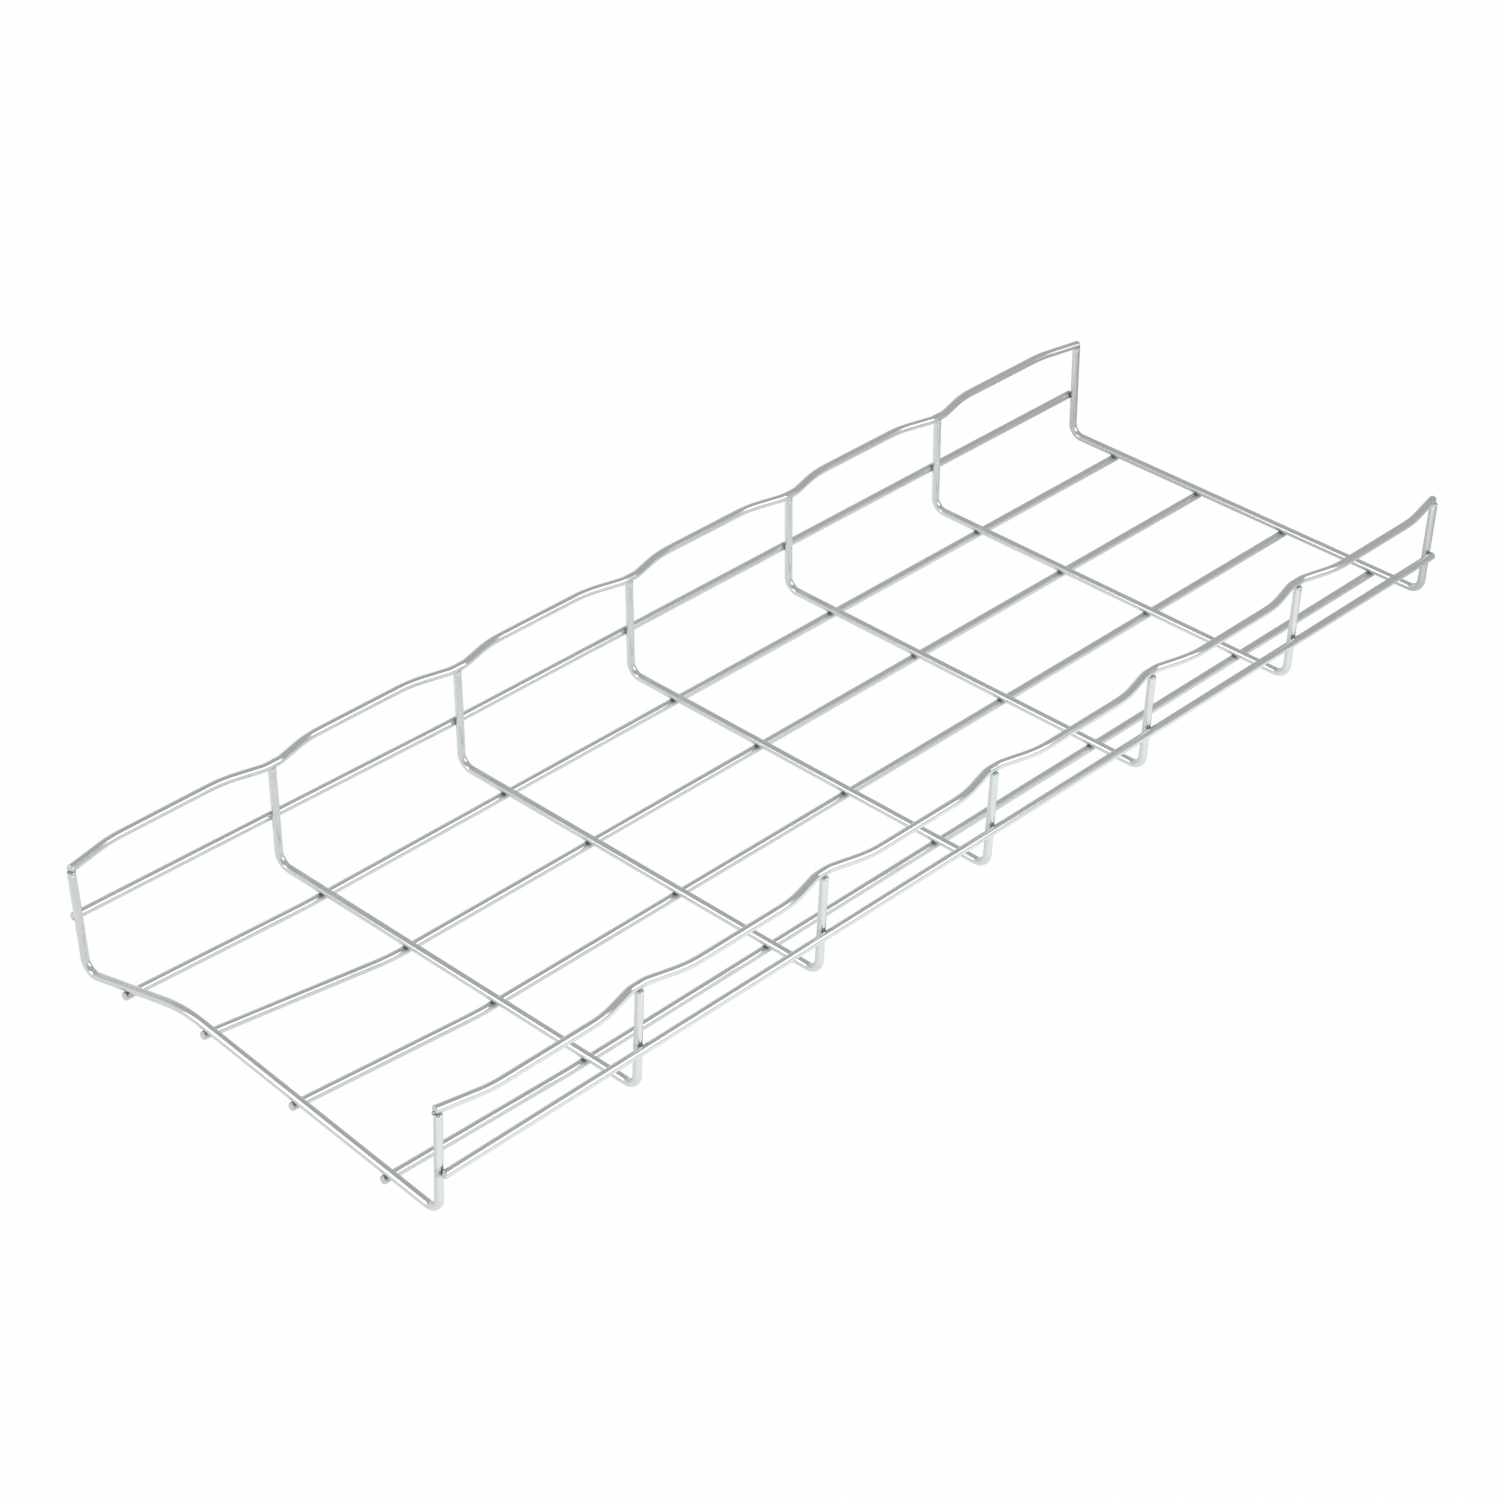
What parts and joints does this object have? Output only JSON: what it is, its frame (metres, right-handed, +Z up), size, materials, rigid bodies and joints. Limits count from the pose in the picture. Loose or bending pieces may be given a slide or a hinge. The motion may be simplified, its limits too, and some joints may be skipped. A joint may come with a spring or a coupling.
{
  "type": "wire mesh cable basket",
  "caption": "Straight length of welded wire mesh cable basket: U shaped cross wires, longitudinal wires and waved top edge wires, open at the top and both ends, one end bent up.",
  "frame": {"origin": "centre of the basket's footprint, on the floor that it stands on, level with the floor wires' undersides", "axes": "+X across to the right wall, +Y along the basket from the bent end to the sound end, +Z up"},
  "size_m": [0.2177, 0.6047, 0.0545],
  "materials": {
    "zinc_plated_wire": "bright zinc plated drawn steel wire"
  },
  "bodies": {
    "root": {"cross_wire_1": "zinc_plated_wire", "cross_wire_2": "zinc_plated_wire", "cross_wire_3": "zinc_plated_wire", "cross_wire_4": "zinc_plated_wire", "cross_wire_5": "zinc_plated_wire", "cross_wire_6": "zinc_plated_wire", "cross_wire_7": "zinc_plated_wire", "floor_wire_1": "zinc_plated_wire", "floor_wire_2": "zinc_plated_wire", "floor_wire_3": "zinc_plated_wire", "floor_wire_4": "zinc_plated_wire", "side_wire_left": "zinc_plated_wire", "side_wire_right": "zinc_plated_wire", "edge_wire_left": "zinc_plated_wire", "edge_wire_right": "zinc_plated_wire"}
  },
  "joints": []
}
